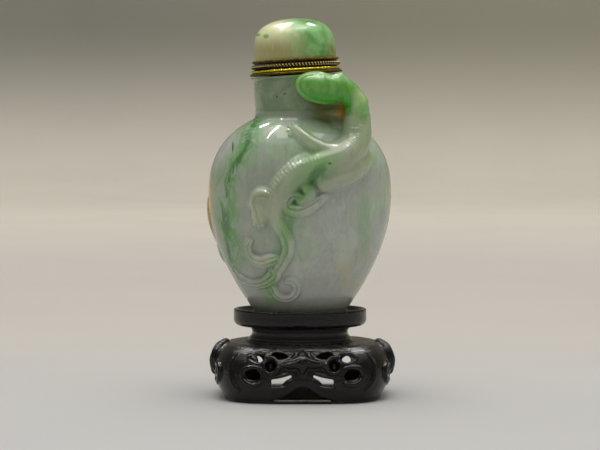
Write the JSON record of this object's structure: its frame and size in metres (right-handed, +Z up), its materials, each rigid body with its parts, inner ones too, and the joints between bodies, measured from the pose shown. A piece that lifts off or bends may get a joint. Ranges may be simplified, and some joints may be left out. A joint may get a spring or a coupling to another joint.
{
  "type": "snuff bottle",
  "caption": "Carved jadeite snuff bottle with a climbing dragon, gilt-collared jade stopper and a pierced dark wood stand.",
  "frame": {"origin": "on the surface that it stands on, at the middle of the object's box", "axes": "+Z up; the side with the dragon faces -Y; +X is to the right as that side is seen"},
  "size_m": [0.0406, 0.0364, 0.0811],
  "materials": {
    "bottle_jade": "polished, waxy, mottled grey-green with green veins",
    "cap_jade": "polished, cream on one side and apple green on the other",
    "gilt_metal": "worn gilding with dark recesses",
    "dark_wood": "black-brown lacquered hardwood, glossy"
  },
  "bodies": {
    "root": {"bottle": "bottle_jade", "stopper_cap": "cap_jade", "stopper_collar": "gilt_metal", "stand": "dark_wood"}
  },
  "joints": []
}
